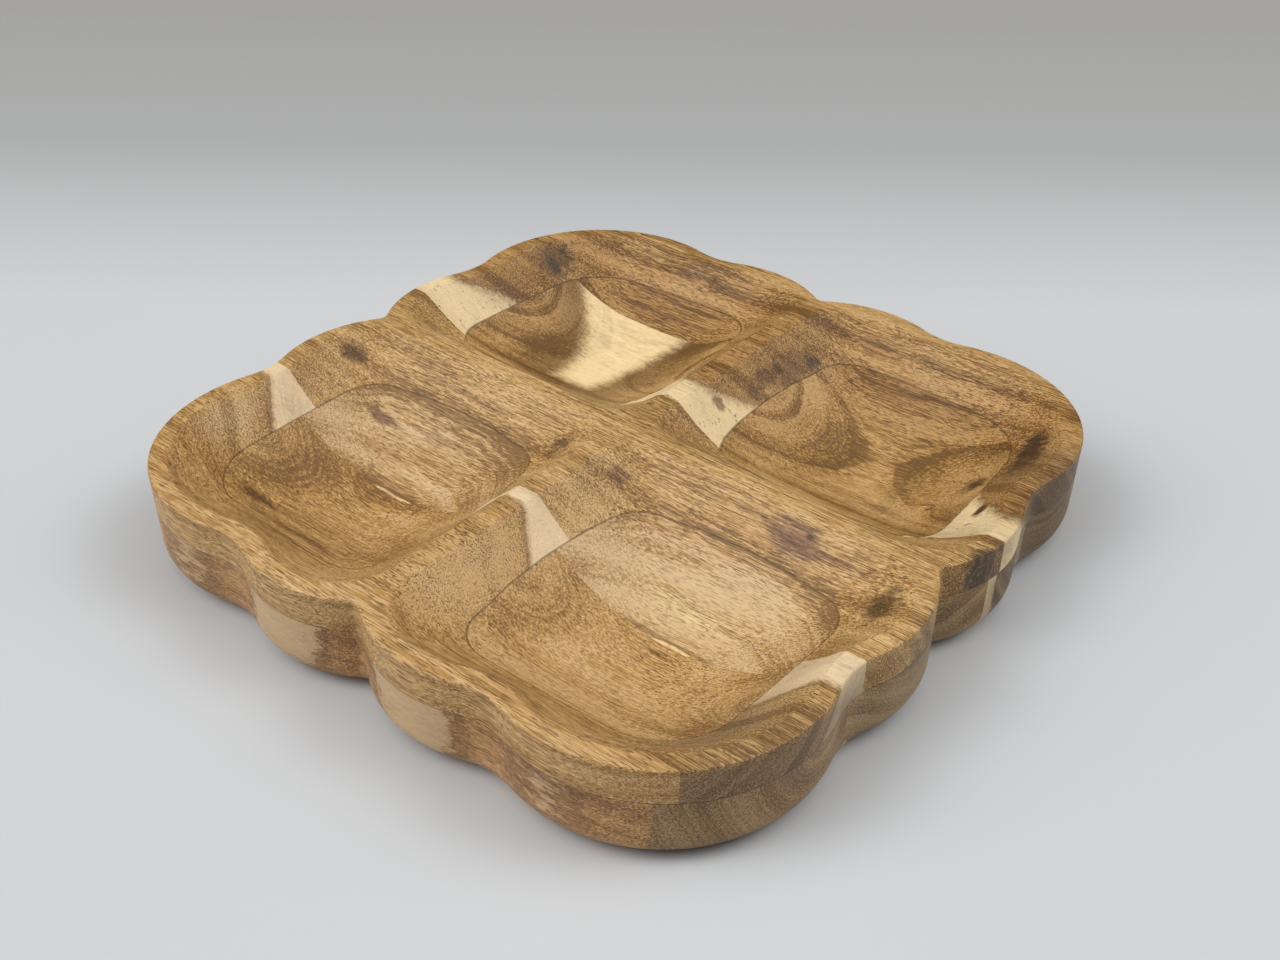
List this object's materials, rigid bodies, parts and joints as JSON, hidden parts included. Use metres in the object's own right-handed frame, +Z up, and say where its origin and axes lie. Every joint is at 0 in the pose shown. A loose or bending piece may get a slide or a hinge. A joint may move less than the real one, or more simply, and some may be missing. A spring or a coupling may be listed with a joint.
{
  "type": "divided serving bowl",
  "caption": "Square wooden serving tray with a scalloped edge and scooped pockets parted by a crossed rib.",
  "frame": {"origin": "middle of the flat foot, on the surface the tray stands on", "axes": "+Z up, +X along the grain of the staves, +Y towards the back"},
  "size_m": [0.3048, 0.3048, 0.0415],
  "materials": {
    "golden_acacia": "satin oiled acacia, grain along X",
    "brown_acacia": "satin oiled acacia, grain along X",
    "tan_acacia": "satin oiled acacia, grain along X",
    "pale_acacia": "satin oiled acacia, grain along X",
    "dark_acacia": "satin oiled acacia, grain along X"
  },
  "bodies": {
    "root": {"top_front_edge_stave": "golden_acacia", "top_front_left_end": "brown_acacia", "top_front_rib": "brown_acacia", "top_front_right_end": "brown_acacia", "top_centre_stave": "tan_acacia", "top_back_left_end": "pale_acacia", "top_back_rib": "pale_acacia", "top_back_right_end": "pale_acacia", "top_back_edge_stave": "dark_acacia", "low_front_edge_stave": "pale_acacia", "low_front_stave": "brown_acacia", "low_centre_stave": "tan_acacia", "low_back_stave": "pale_acacia", "low_back_edge_stave": "dark_acacia"}
  },
  "joints": []
}
